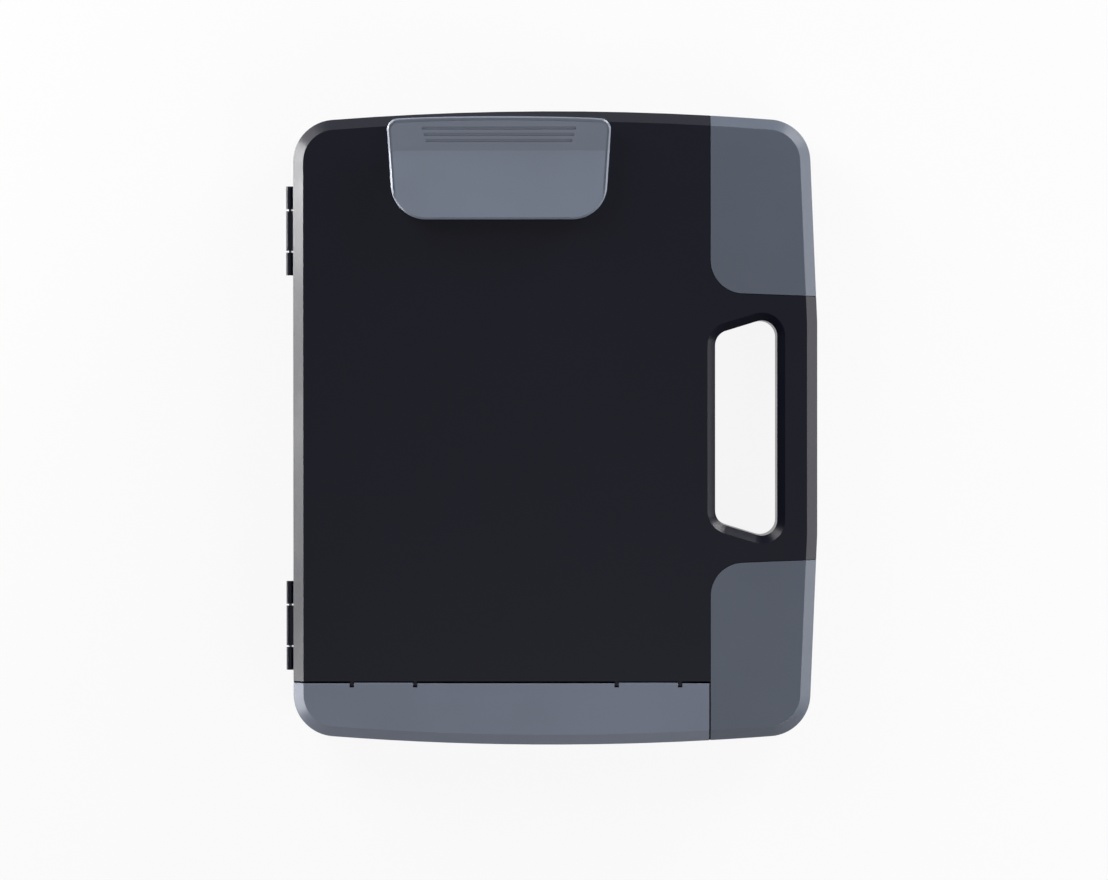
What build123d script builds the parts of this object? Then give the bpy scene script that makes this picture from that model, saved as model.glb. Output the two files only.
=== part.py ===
from build123d import *
import math
import os

os.makedirs("parts", exist_ok=True)

# Clipboard storage case, lying flat with its lid up, in millimetres.
# +X points to the hand hole, +Y to the clip and +Z up. The origin is the bottom centre of the whole.

# Overall sizes
overall_width = 307.0
overall_length = 366.0
end_bow = 6.7
side_straight_length = 122.0
side_taper_angle = 2.4
corner_radius = 24.5
well_depth = 33.0
lid_height = 9.5

# Walls and edges
base_wall = 3.0
base_floor = 2.3
base_bevel = 5.0
base_bevel_thickness = 2.5
lid_wall = 1.7
lid_top = 2.4
lid_bevel = 6.1
bevel_thickness = 2.0
divider_wall = 2.0
overcut = 1.0

# Rim lip that centres the lid on the base
lip_thickness = 1.05
lip_height = 2.0
lip_clearance = 0.25

# Feet
foot_height = 1.2
foot_radius = 6.0
foot_pocket_depth = 0.8
foot_inset_x = 24.0
foot_inset_y = 30.0

# Lid hinge
barrel_radius = 2.1
hinge_pin_radius = 1.0
hinge_from_end = 68.9
outer_knuckle_length = 13.2
middle_knuckle_length = 23.0
knuckle_gap = 1.0
running_clearance = 0.05
relief_clearance = 0.3

# Hand hole
hole_from_side = 23.2
hole_width = 35.8
hole_outer_length = 130.6
hole_inner_length = 108.6
hole_corner_radius = 9.0
hole_bevel = 4.5
hole_base_bevel = 3.0
ring_wall = 2.2

# Corner covers
seam_from_side = 62.0
seam_from_hole = 12.7
seam_slope_angle = 2.1
seam_radius = 19.5
seam_gap = 0.35
cover_thickness = 1.7
cover_clearance = 0.15
underlayer = 1.6
peg_radius = 1.2
peg_head_radius = 2.0
peg_head_height = 0.8
peg_inset = 16.0

# Pen compartment and its door
pen_trough_length = 36.9
door_wall = 1.7
door_top = 2.2
door_seam = 1.1
door_end_gap = 0.5
door_hinge_inset = 0.8
door_barrel_radius = 1.5
door_barrel_length = 34.0
door_pin_radius = 0.6
door_edge_fillet = 0.7
door_hinge_left_inset = 52.3
door_hinge_right_inset = 35.6
door_ear_width = 2.0
door_ear_radius = 1.3
seam_wall = 1.8
rim_gap = 0.3

# Clip lever
clip_shift = -1.0
clip_back_inset = 3.9
clip_length = 58.9
clip_tab_length = 19.5
clip_back_bow = 1.5
clip_front_width = 121.8
clip_back_width = 129.4
clip_back_radius = 6.4
clip_front_radius = 20.0
clip_bevel = 1.0
clip_rim_groove_inset = 1.25
clip_rim_groove_width = 1.1
clip_rim_groove_depth = 0.4
clip_rim_groove_run_out = 2.2
clip_wall = 1.75
clip_rise = 16.0
clip_tab_angle = 16.3
clip_front_slope = 1.2
clip_skirt_gap = 0.6
clip_pivot_inset = 3.6
clip_pivot_rise = 4.5
clip_open_angle = 20.5
clip_tab_start_inset = 1.0
clip_jaw_gap = 2.6
groove_width = 1.8
groove_depth = 0.65
groove_spacing = 3.65
groove_first_inset = 7.1
groove_length = 88.6
groove_length_step = 2.05

# Clip bracket, pin, springs, rivets and jaw pad
clip_pin_radius = 1.5
lug_thickness = 3.0
lug_radius = 3.4
lug_root = 0.5
lug_spread = 108.0
bracket_thickness = 1.0
bracket_depth = 26.0
ear_gap = 1.0
rivet_spread_x = 72.0
rivet_spread_y = 14.0
rivet_radius = 1.5
rivet_head_radius = 2.8
rivet_head_height = 1.2
spring_wire_radius = 0.6
spring_coil_radius = 2.5
spring_turns = 5
spring_pitch = 1.7
spring_spread = 60.0
spring_leg_length = 12.0
pad_depth = 6.0
pad_gap = 0.1
pad_front_inset = 0.4
pad_tongue_height = 3.0
pad_tongue_depth = 2.4
pad_side_inset = 20.5

# Latch
latch_width = 35.0
latch_height = 22.0
latch_plate_thickness = 1.5
latch_foot_thickness = 3.2
latch_face_inset = 0.3
latch_side_gap = 1.5
latch_pocket_depth = 7.5
latch_pocket_wall = 2.0
latch_pivot_depth = 2.7
latch_pivot_drop = 9.0
latch_pin_radius = 1.0
latch_hub_radius = 2.2
latch_hook_height = 1.2
latch_hook_gap = 0.2
catch_gap = 0.4
catch_height = 1.2
catch_inset = 2.1
catch_depth = 2.0
catch_end_gap = 1.5
leaf_thickness = 0.4
leaf_width = 12.0
leaf_gap = 0.1
leaf_end_gap = 0.5

# Places worked out from the sizes
floor_z = foot_height + base_floor
rim_z = floor_z + well_depth
lid_top_z = rim_z + lid_height
right_x = overall_width / 2
hinge_x = -overall_width / 2 + barrel_radius
left_x = hinge_x + barrel_radius
half_length = overall_length / 2
corner_y = half_length - end_bow
side_straight_y = side_straight_length / 2
right_corner_x = right_x - (corner_y - side_straight_y) * math.tan(math.radians(side_taper_angle))
middle_x = (left_x + right_corner_x) / 2
hole_right_x = right_x - hole_from_side
hole_left_x = hole_right_x - hole_width
seam_x = right_x - seam_from_side
seam_y = hole_outer_length / 2 + seam_from_hole
pen_divider_y = -half_length + pen_trough_length
door_hinge_y = pen_divider_y - door_seam - door_hinge_inset
door_hinge_z = lid_top_z - door_barrel_radius
lip_inset = lid_wall + lip_clearance
lip_room_inset = lip_inset + lip_thickness + 2 * lip_clearance
lip_room_z = rim_z + lip_height + relief_clearance
clip_x = (left_x + seam_x) / 2 + clip_shift
clip_back_y = half_length - clip_back_inset
clip_front_y = clip_back_y - clip_length
clip_bend_y = clip_back_y - clip_tab_length
clip_pivot_y = clip_bend_y - clip_pivot_inset
far = overall_length
foot_places = [
    (foot_x, foot_y)
    for foot_y in (foot_inset_y - half_length, half_length - foot_inset_y)
    for foot_x in (left_x + foot_inset_x, right_x - foot_inset_x)
]


def bevel_leg(outer_leg, wall, top, thickness):
    """Leg of a 45 degree inner bevel that leaves the given thickness behind the outer one."""
    return outer_leg + math.sqrt(2) * thickness - wall - top


def case_outline(inset):
    """Plan outline of the case, drawn in by the inset."""
    with BuildSketch() as outline:
        with BuildLine():
            Line((left_x, -corner_y), (left_x, corner_y))
            ThreePointArc((left_x, corner_y), (middle_x, half_length), (right_corner_x, corner_y))
            Line((right_corner_x, corner_y), (right_x, side_straight_y))
            Line((right_x, side_straight_y), (right_x, -side_straight_y))
            Line((right_x, -side_straight_y), (right_corner_x, -corner_y))
            ThreePointArc((right_corner_x, -corner_y), (middle_x, -half_length), (left_x, -corner_y))
        make_face()
        rows = outline.vertices().group_by(Axis.Y)
        fillet(rows[0] + rows[-1], corner_radius)
        if inset > 0:
            offset(amount=-inset)
    return outline.sketch


def slab(outline, low, high):
    """Straight slab over an outline."""
    with BuildPart() as block:
        with BuildSketch(Plane.XY.offset(low)):
            add(outline)
        extrude(amount=high - low)
    return block.part


def bevelled_slab(outline, low, high, leg):
    """Slab over an outline with a 45 degree bevel round its top edge."""
    with BuildPart() as block:
        with BuildSketch(Plane.XY.offset(low)):
            add(outline)
        extrude(amount=high - low)
        chamfer(block.faces().sort_by(Axis.Z)[-1].edges(), length=leg)
    return block.part


def footed_slab(outline, low, high, leg):
    """Slab over an outline with a 45 degree bevel round its bottom edge."""
    with BuildPart() as block:
        with BuildSketch(Plane.XY.offset(low)):
            add(outline)
        extrude(amount=high - low)
        chamfer(block.faces().sort_by(Axis.Z)[0].edges(), length=leg)
    return block.part


def box_between(low, high):
    """Box from its low corner to its high corner."""
    with BuildPart() as block:
        with Locations(low):
            Box(
                high[0] - low[0],
                high[1] - low[1],
                high[2] - low[2],
                align=(Align.MIN, Align.MIN, Align.MIN),
            )
    return block.part


def ring_slab(outer_inset, inner_inset, low, high):
    """Ring that follows the case outline between two insets."""
    outer = case_outline(outer_inset)
    inner = case_outline(inner_inset)
    with BuildPart() as ring:
        with BuildSketch(Plane.XY.offset(low)):
            add(outer)
            add(inner, mode=Mode.SUBTRACT)
        extrude(amount=high - low)
    return ring.part


def cut_from(body, *cutters):
    """A body with each of the cutters taken away."""
    with BuildPart() as rest:
        add(body)
        for cutter in cutters:
            add(cutter, mode=Mode.SUBTRACT)
    return rest.part


def shared_part(first, second):
    """The space that two bodies share."""
    with BuildPart() as shared:
        add(first)
        add(second, mode=Mode.INTERSECT)
    return shared.part


def joined(*pieces):
    """Several bodies as one."""
    with BuildPart() as whole:
        for piece in pieces:
            add(piece)
    return whole.part


def rod(start, direction, length, radius):
    """Round rod from a start point along a direction."""
    with BuildPart() as block:
        with BuildSketch(Plane(origin=start, z_dir=direction)):
            Circle(radius)
        extrude(amount=length)
    return block.part


def hole_outline(growth):
    """Plan outline of the hand hole, grown outwards."""
    with BuildSketch() as outline:
        with BuildLine():
            Polyline(
                (hole_left_x, -hole_inner_length / 2),
                (hole_right_x, -hole_outer_length / 2),
                (hole_right_x, hole_outer_length / 2),
                (hole_left_x, hole_inner_length / 2),
                close=True,
            )
        make_face()
        fillet(outline.vertices(), hole_corner_radius)
        if growth > 0:
            offset(amount=growth)
    return outline.sketch


def flared_plug(growth, end_z, flare_z, mouth_z):
    """Plug of the hand hole that flares outwards at 45 degrees from flare_z to its mouth."""
    neck = hole_outline(growth)
    mouth = hole_outline(growth + abs(mouth_z - flare_z))
    with BuildPart() as plug:
        with BuildSketch(Plane.XY.offset(end_z)):
            add(neck)
        extrude(amount=flare_z - end_z)
        with BuildSketch(Plane.XY.offset(flare_z)):
            add(neck)
        with BuildSketch(Plane.XY.offset(mouth_z)):
            add(mouth)
        loft(ruled=True)
    return plug.part


def corner_zone(side, margin, low, high):
    """Block over a right-hand corner, past its seam by the margin; side is 1 at the top, -1 at the bottom."""
    slope = math.tan(math.radians(seam_slope_angle))
    edge_x = seam_x + margin
    edge_y = seam_y + margin
    with BuildPart() as zone:
        with BuildSketch(Plane.XY.offset(low)) as plan:
            with BuildLine():
                Polyline(
                    (edge_x, side * far),
                    (edge_x, side * edge_y),
                    (far, side * (edge_y - (far - edge_x) * slope)),
                    (far, side * far),
                    close=True,
                )
            make_face()
            corner = plan.vertices().sort_by_distance((edge_x, side * edge_y, low))[0]
            fillet(corner, seam_radius - margin)
        extrude(amount=high - low)
    return zone.part


# Hand hole plugs shared by the base and the lid
hole_flare_z = lid_top_z - hole_bevel
ring_flare_z = hole_flare_z + ring_wall - math.sqrt(2) * bevel_thickness
ring_outline = hole_outline(ring_wall)

# Hinge knuckles and the latch pocket
hinge_places = [hinge_from_end - half_length, half_length - hinge_from_end]
outer_knuckle_shift = (middle_knuckle_length + outer_knuckle_length) / 2 + knuckle_gap
hinge_length = middle_knuckle_length + 2 * (knuckle_gap + outer_knuckle_length)


def knuckle(middle_y, length, web_low, web_high):
    """Hinge knuckle round the lid axis with its web to the wall."""
    axis_point = (hinge_x, middle_y - length / 2, rim_z)
    barrel = rod(axis_point, (0, 1, 0), length, barrel_radius)
    web = box_between(
        (hinge_x, middle_y - length / 2, web_low),
        (left_x + lid_wall / 2, middle_y + length / 2, web_high),
    )
    return joined(barrel, web)


def knuckle_relief(middle_y, length):
    """Room that a knuckle of the other part turns in."""
    room = length + 2 * relief_clearance
    start = (hinge_x, middle_y - room / 2, rim_z)
    return rod(start, (0, 1, 0), room, barrel_radius + relief_clearance)


def hinge_bore(middle_y):
    """Bore for the hinge pin through all knuckles of one hinge."""
    room = hinge_length + 2 * overcut
    return rod((hinge_x, middle_y - room / 2, rim_z), (0, 1, 0), room, hinge_pin_radius + running_clearance)


def save(block, name):
    """Label a finished piece and write its file."""
    block.part.label = name
    export_step(block.part, "parts/" + name + ".step")
    print(name, block.part.is_valid, len(block.part.solids()), round(block.part.volume, 1))


# Base tray
base_outline = case_outline(0)
well_outline = case_outline(base_wall)
well_leg = bevel_leg(base_bevel, base_wall, base_floor, base_bevel_thickness)
latch_half = latch_width / 2 + latch_side_gap
latch_pocket_x = right_x - latch_pocket_depth
latch_top_z = rim_z + catch_gap + catch_height + latch_hook_gap + latch_hook_height
latch_bottom_z = latch_top_z - latch_height
latch_pivot_x = right_x - latch_pivot_depth
latch_pivot_z = rim_z - latch_pivot_drop

base_form = footed_slab(base_outline, foot_height, rim_z, base_bevel)
well_form = footed_slab(well_outline, floor_z, rim_z, well_leg)
ring_form = slab(ring_outline, foot_height, rim_z)
base_hole = flared_plug(0, rim_z + overcut, foot_height + hole_base_bevel, foot_height - overcut)
lip_ring = ring_slab(lip_inset, lip_inset + lip_thickness, rim_z - overcut, rim_z + lip_height)
divider_low_x = seam_x - divider_wall / 2
divider_high_x = seam_x + divider_wall / 2
divider_z = floor_z - overcut
dividers = [
    box_between((-far, pen_divider_y, divider_z), (seam_x, pen_divider_y + divider_wall, rim_z)),
    box_between((divider_low_x, seam_y, divider_z), (divider_high_x, far, rim_z)),
    box_between((divider_low_x, -far, divider_z), (divider_high_x, -seam_y, rim_z)),
    box_between((divider_low_x, seam_y - divider_wall, divider_z), (far, seam_y, rim_z)),
    box_between((divider_low_x, -seam_y, divider_z), (far, -seam_y + divider_wall, rim_z)),
]
latch_cheek_y = latch_half + latch_pocket_wall
latch_back_x = latch_pocket_x - latch_pocket_wall
latch_block = box_between((latch_back_x, -latch_cheek_y, divider_z), (right_x, latch_cheek_y, rim_z))
latch_sill_z = latch_bottom_z - latch_side_gap
latch_pocket = box_between((latch_pocket_x, -latch_half, latch_sill_z), (far, latch_half, far))
lip_break = box_between((latch_back_x, -latch_cheek_y, rim_z), (far, latch_cheek_y, far))
well_cut = cut_from(well_form, ring_form, latch_block, *dividers)
latch_bore = rod(
    (latch_pivot_x, -latch_cheek_y, latch_pivot_z),
    (0, 1, 0),
    2 * latch_cheek_y,
    latch_pin_radius + running_clearance,
)

with BuildPart() as base_tray:
    add(base_form)
    add(well_cut, mode=Mode.SUBTRACT)
    add(lip_ring)
    for hinge_y in hinge_places:
        for knuckle_y in (hinge_y - outer_knuckle_shift, hinge_y + outer_knuckle_shift):
            add(knuckle(knuckle_y, outer_knuckle_length, rim_z - barrel_radius, rim_z))
        add(knuckle_relief(hinge_y, middle_knuckle_length), mode=Mode.SUBTRACT)
        add(hinge_bore(hinge_y), mode=Mode.SUBTRACT)
    add(base_hole, mode=Mode.SUBTRACT)
    with BuildSketch(Plane.XY.offset(foot_height)):
        with Locations(foot_places):
            Circle(foot_radius + running_clearance)
    extrude(amount=foot_pocket_depth, mode=Mode.SUBTRACT)
    add(latch_pocket, mode=Mode.SUBTRACT)
    add(lip_break, mode=Mode.SUBTRACT)
    add(latch_bore, mode=Mode.SUBTRACT)
save(base_tray, "base_tray")

# Lid forms shared by the lid shell, the covers and the door
cover_depth = cover_thickness + cover_clearance
under_depth = cover_depth + underlayer
lid_form = bevelled_slab(base_outline, rim_z, lid_top_z, lid_bevel)
cover_core = bevelled_slab(
    case_outline(cover_thickness),
    rim_z,
    lid_top_z - cover_thickness,
    bevel_leg(lid_bevel, cover_thickness, cover_thickness, cover_thickness),
)
recess_core = bevelled_slab(
    case_outline(cover_depth),
    rim_z,
    lid_top_z - cover_depth,
    bevel_leg(lid_bevel, cover_depth, cover_depth, cover_depth),
)
deep_cavity = bevelled_slab(
    case_outline(under_depth),
    rim_z,
    lid_top_z - under_depth,
    bevel_leg(lid_bevel, under_depth, under_depth, under_depth),
)
lid_cavity = bevelled_slab(
    case_outline(lid_wall),
    rim_z,
    lid_top_z - lid_top,
    bevel_leg(lid_bevel, lid_wall, lid_top, bevel_thickness),
)
ring_plug = flared_plug(ring_wall, rim_z, ring_flare_z, lid_top_z - lid_top)
hole_plug = flared_plug(0, rim_z - overcut, hole_flare_z, lid_top_z + overcut)
lip_room = ring_slab(lid_wall, lip_room_inset, rim_z, lip_room_z)
recess_floor_z = lid_top_z - cover_depth

# Door hinge places and clip places
door_edge_y = pen_divider_y - door_seam
door_right_x = seam_x - door_end_gap
door_hinge_left_x = left_x + door_hinge_left_inset
door_hinge_right_x = seam_x - door_hinge_right_inset
door_hinge_places = [door_hinge_left_x, door_hinge_right_x]
door_ear_shift = door_barrel_length / 2 + relief_clearance
door_pin_length = 2 * (door_ear_shift + door_ear_width)
clip_pivot_z = lid_top_z + clip_pivot_rise
bracket_top_z = lid_top_z + bracket_thickness
rivet_places = [
    (clip_x + side_x * rivet_spread_x / 2, clip_pivot_y + side_y * rivet_spread_y / 2)
    for side_x in (-1, 1)
    for side_y in (-1, 1)
]


def peg_places(side):
    """Plan places of the three staked pegs of a corner cover."""
    return [
        (seam_x + peg_inset, side * (half_length - 1.5 * peg_inset)),
        (seam_x + 1.5 * peg_inset, side * (seam_y + 1.5 * peg_inset)),
        (right_x - 1.5 * peg_inset, side * (seam_y + peg_inset)),
    ]


def door_ear(start_x):
    """Ear of the lid that carries one end of a door pin."""
    round_end = rod((start_x, door_hinge_y, door_hinge_z), (1, 0, 0), door_ear_width, door_ear_radius)
    web = box_between(
        (start_x, door_hinge_y, door_hinge_z - door_ear_radius),
        (start_x + door_ear_width, pen_divider_y + seam_wall / 2, door_hinge_z + door_ear_radius),
    )
    return joined(round_end, web)


def ear_bore(start_x):
    """Bore for the door pin through one ear."""
    start = (start_x - overcut, door_hinge_y, door_hinge_z)
    return rod(start, (1, 0, 0), door_ear_width + 2 * overcut, door_pin_radius + running_clearance)


def ear_starts(place_x):
    """Low X side of both ears of a door hinge."""
    return [place_x - door_ear_shift - door_ear_width, place_x + door_ear_shift]


# Lid shell
wall_low_z = rim_z + rim_gap
wall_corner = (seam_x + seam_wall, pen_divider_y + seam_wall, recess_floor_z)
seam_wall_block = shared_part(box_between((-far, pen_divider_y, wall_low_z), wall_corner), lid_form)
end_wall_block = shared_part(box_between((seam_x, -far, wall_low_z), wall_corner), recess_core)
door_opening = box_between((-far, -far, rim_z - overcut), (seam_x, pen_divider_y, far))
catch_x = right_x - catch_inset
catch_wall_x = catch_x - catch_depth
latch_roof_z = lid_top_z - lid_bevel
catch_back_x = catch_wall_x - latch_pocket_wall
catch_block = shared_part(
    box_between((catch_back_x, -latch_cheek_y, wall_low_z), (far, latch_cheek_y, far)), lid_form
)
catch_room = box_between((catch_wall_x, -latch_half, rim_z - overcut), (far, latch_half, latch_roof_z))
catch_half = latch_width / 2 - catch_end_gap
catch_rib = box_between(
    (catch_wall_x - overcut, -catch_half, rim_z + catch_gap),
    (catch_x, catch_half, rim_z + catch_gap + catch_height),
)
corner_zones = [corner_zone(side, 0, rim_z - overcut, far) for side in (-1, 1)]
wide_zones = [corner_zone(side, -divider_wall, rim_z - overcut, far) for side in (-1, 1)]
lid_hollow = cut_from(lid_cavity, ring_plug, *wide_zones)
corner_hollow = cut_from(deep_cavity, ring_plug)
cover_recess = cut_from(joined(*corner_zones), recess_core)

with BuildPart() as lid_shell:
    add(lid_form)
    add(lid_hollow, mode=Mode.SUBTRACT)
    add(corner_hollow, mode=Mode.SUBTRACT)
    add(cover_recess, mode=Mode.SUBTRACT)
    add(door_opening, mode=Mode.SUBTRACT)
    add(seam_wall_block)
    add(end_wall_block)
    add(lip_room, mode=Mode.SUBTRACT)
    add(catch_block)
    add(catch_room, mode=Mode.SUBTRACT)
    add(catch_rib)
    add(hole_plug, mode=Mode.SUBTRACT)
    for hinge_y in hinge_places:
        add(knuckle(hinge_y, middle_knuckle_length, rim_z, rim_z + barrel_radius))
        for knuckle_y in (hinge_y - outer_knuckle_shift, hinge_y + outer_knuckle_shift):
            add(knuckle_relief(knuckle_y, outer_knuckle_length), mode=Mode.SUBTRACT)
        add(hinge_bore(hinge_y), mode=Mode.SUBTRACT)
    for place_x in door_hinge_places:
        for start_x in ear_starts(place_x):
            add(door_ear(start_x))
            add(ear_bore(start_x), mode=Mode.SUBTRACT)
    with BuildSketch(Plane.XY.offset(rim_z)):
        with Locations(rivet_places):
            Circle(rivet_radius + running_clearance)
        with Locations(peg_places(1) + peg_places(-1)):
            Circle(peg_radius + running_clearance)
    extrude(amount=lid_height, mode=Mode.SUBTRACT)
save(lid_shell, "lid_shell")

# Corner covers with their staked pegs
for side, name in ((1, "top_corner_cover"), (-1, "bottom_corner_cover")):
    zone = corner_zone(side, seam_gap, rim_z + rim_gap, far)
    with BuildPart() as corner_cover:
        add(lid_form)
        add(cover_core, mode=Mode.SUBTRACT)
        add(zone, mode=Mode.INTERSECT)
        with BuildSketch(Plane.XY.offset(lid_top_z - cover_thickness / 2)):
            with Locations(peg_places(side)):
                Circle(peg_radius)
        extrude(amount=-(under_depth - cover_thickness / 2))
        with BuildSketch(Plane.XY.offset(lid_top_z - under_depth)):
            with Locations(peg_places(side)):
                Circle(peg_head_radius)
        extrude(amount=-peg_head_height)
    save(corner_cover, name)

# Pen door
door_cavity = bevelled_slab(
    case_outline(door_wall),
    rim_z,
    lid_top_z - door_top,
    bevel_leg(lid_bevel, door_wall, door_top, bevel_thickness),
)
door_inside = box_between((-far, -far, rim_z), (door_right_x - door_wall, 0, far))
door_zone = box_between((-far, -far, wall_low_z), (door_right_x, door_edge_y, far))
door_hollow = shared_part(door_cavity, door_inside)

with BuildPart() as door_block:
    add(lid_form)
    add(door_zone, mode=Mode.INTERSECT)
    back_edges = door_block.edges().filter_by(Axis.X).group_by(Axis.Y)[-1]
    fillet(back_edges.sort_by(Axis.Z)[-1], door_edge_fillet)


def ear_notch(start_x):
    """Notch in the door's edge that clears one ear of the lid."""
    return box_between(
        (start_x - relief_clearance, door_hinge_y - door_ear_radius - relief_clearance, rim_z),
        (start_x + door_ear_width + relief_clearance, 0, far),
    )


with BuildPart() as pen_door:
    add(door_block.part)
    add(door_hollow, mode=Mode.SUBTRACT)
    add(lip_room, mode=Mode.SUBTRACT)
    for place_x in door_hinge_places:
        barrel_start = (place_x - door_barrel_length / 2, door_hinge_y, door_hinge_z)
        add(rod(barrel_start, (1, 0, 0), door_barrel_length, door_barrel_radius))
        for start_x in ear_starts(place_x):
            add(ear_notch(start_x), mode=Mode.SUBTRACT)
        add(
            rod(barrel_start, (1, 0, 0), door_barrel_length, door_pin_radius + running_clearance),
            mode=Mode.SUBTRACT,
        )
save(pen_door, "pen_door")

for place_x, name in ((door_hinge_left_x, "door_pin_left"), (door_hinge_right_x, "door_pin_right")):
    with BuildPart() as door_pin:
        pin_start = (place_x - door_pin_length / 2, door_hinge_y, door_hinge_z)
        add(rod(pin_start, (1, 0, 0), door_pin_length, door_pin_radius))
    save(door_pin, name)

# Hinge pins
for hinge_y, name in ((hinge_places[0], "hinge_pin_lower"), (hinge_places[1], "hinge_pin_upper")):
    with BuildPart() as hinge_pin:
        add(rod((hinge_x, hinge_y - hinge_length / 2, rim_z), (0, 1, 0), hinge_length, hinge_pin_radius))
    save(hinge_pin, name)

# Clip lever, a hollow shell that is open below
clip_crown_z = lid_top_z + clip_rise
tab_slope = math.tan(math.radians(clip_tab_angle))
tab_run = clip_back_y - clip_bend_y
clip_bend_z = clip_crown_z - (tab_run - clip_bevel * math.cos(math.radians(clip_tab_angle))) * tab_slope
tab_end_z = clip_bend_z + tab_run * tab_slope
front_slope = math.tan(math.radians(clip_front_slope))
clip_skirt_z = lid_top_z + clip_skirt_gap
clip_jaw_z = lid_top_z + clip_jaw_gap
clear_slope = math.tan(math.radians(clip_open_angle))
tab_start_y = clip_pivot_y - clip_tab_start_inset
tab_under_z = clip_skirt_z + (clip_back_y - tab_start_y) * clear_slope


def clip_plan(inset, front_y):
    """Plan outline of the clip lever, drawn in by the inset, with its front edge at front_y."""
    length = clip_back_y - front_y
    flare = (clip_back_width - clip_front_width) / 2 / clip_length
    front_half = clip_back_width / 2 - flare * length - inset
    back_half = clip_back_width / 2 - inset
    back_corner_y = clip_back_y - clip_back_bow - inset
    with BuildSketch() as outline:
        with BuildLine():
            Line((clip_x - front_half, front_y), (clip_x - back_half, back_corner_y))
            ThreePointArc(
                (clip_x - back_half, back_corner_y),
                (clip_x, clip_back_y - inset),
                (clip_x + back_half, back_corner_y),
            )
            Line((clip_x + back_half, back_corner_y), (clip_x + front_half, front_y))
            Line((clip_x + front_half, front_y), (clip_x - front_half, front_y))
        make_face()
        fillet(outline.vertices().group_by(Axis.Y)[0], clip_front_radius - inset)
        fillet(outline.vertices().group_by(Axis.Y)[-1], clip_back_radius - inset)
    return outline.sketch


def clip_profile(drop, front_y):
    """Side outline of the clip lever with its roof lowered by the drop."""
    front_roof_z = clip_bend_z + (clip_bend_y - front_y) * front_slope
    with BuildSketch(Plane.YZ.offset(clip_x)) as profile:
        with BuildLine():
            Polyline(
                (front_y, clip_skirt_z),
                (front_y, front_roof_z - drop),
                (clip_bend_y, clip_bend_z - drop),
                (clip_back_y, tab_end_z - drop),
                (clip_back_y, tab_under_z),
                (tab_start_y, clip_skirt_z),
                close=True,
            )
        make_face()
    return profile.sketch


outer_plan = clip_plan(0, clip_front_y)
outer_profile = clip_profile(0, clip_front_y)
inner_plan = clip_plan(clip_wall, clip_front_y + clip_wall)
groove_plane = Plane(
    origin=(clip_x, clip_bend_y, clip_bend_z),
    x_dir=(1, 0, 0),
    z_dir=(0, -math.sin(math.radians(clip_tab_angle)), math.cos(math.radians(clip_tab_angle))),
)
tab_length = tab_run / math.cos(math.radians(clip_tab_angle))


def off_bend(edge):
    """Whether an edge lies clear of the lever's bend."""
    return abs(edge.position_at(0.5).Y - clip_bend_y) > clip_tab_start_inset


def lever_end(low_y, high_y):
    """The lever's solid form on one side of its bend, with its roof bevelled."""
    with BuildPart() as end:
        with BuildSketch(Plane.XY.offset(clip_skirt_z)):
            add(outer_plan)
        extrude(amount=clip_rise + clip_bevel)
        extrude(outer_profile, amount=clip_back_width, both=True, mode=Mode.INTERSECT)
        add(box_between((-far, low_y, 0), (far, high_y, far)), mode=Mode.INTERSECT)
        roof = end.faces().filter_by(lambda face: face.normal_at().Z > 0.9)
        chamfer(roof.edges().filter_by(off_bend), length=clip_bevel)
    return end.part


lever_form = joined(lever_end(-far, clip_bend_y), lever_end(clip_bend_y, far))

# The rim groove runs out through the round front corners
rim_groove_front_y = clip_front_y - clip_rim_groove_run_out
with BuildPart() as rim_groove:
    with BuildSketch(Plane.XY.offset(clip_skirt_z)):
        add(clip_plan(clip_rim_groove_inset, rim_groove_front_y))
        add(clip_plan(clip_rim_groove_inset + clip_rim_groove_width, rim_groove_front_y), mode=Mode.SUBTRACT)
    extrude(amount=clip_rise + clip_bevel)
    extrude(
        clip_profile(clip_rim_groove_depth, rim_groove_front_y),
        amount=clip_back_width,
        both=True,
        mode=Mode.SUBTRACT,
    )

# The hollow follows the roof and leaves one wall thickness
hollow_profile = clip_profile(clip_wall, clip_front_y)
with BuildPart() as lever_hollow:
    with BuildSketch(Plane.XY.offset(clip_skirt_z - overcut)):
        add(inner_plan)
    extrude(amount=clip_rise + overcut)
    extrude(hollow_profile, amount=clip_back_width, both=True, mode=Mode.INTERSECT)

lug_inner_x = lug_spread / 2 - lug_thickness / 2
clip_pin_length = lug_spread + lug_thickness


def lever_lug(start_x):
    """Lug inside the lever that the clip pin passes through."""
    round_end = rod((start_x, clip_pivot_y, clip_pivot_z), (1, 0, 0), lug_thickness, lug_radius)
    web = box_between(
        (start_x, clip_pivot_y - lug_radius, clip_pivot_z),
        (start_x + lug_thickness, clip_pivot_y + lug_radius, clip_bend_z - clip_wall + lug_root),
    )
    return joined(round_end, web)


with BuildPart() as clip_lever:
    add(lever_form)
    add(rim_groove.part, mode=Mode.SUBTRACT)
    add(lever_hollow.part, mode=Mode.SUBTRACT)
    add(box_between((-far, -far, 0), (far, clip_front_y + pad_depth, clip_jaw_z)), mode=Mode.SUBTRACT)
    for start_x in (clip_x - lug_inner_x - lug_thickness, clip_x + lug_inner_x):
        add(lever_lug(start_x))
    add(
        rod(
            (clip_x - clip_pin_length / 2 - overcut, clip_pivot_y, clip_pivot_z),
            (1, 0, 0),
            clip_pin_length + 2 * overcut,
            clip_pin_radius + running_clearance,
        ),
        mode=Mode.SUBTRACT,
    )
    for number in range(3):
        inset = groove_first_inset + (2 - number) * groove_spacing
        length = groove_length - (2 - number) * groove_length_step
        with BuildSketch(groove_plane):
            with Locations((0, tab_length - inset)):
                SlotOverall(length, groove_width)
        extrude(amount=-groove_depth, mode=Mode.SUBTRACT)
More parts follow.
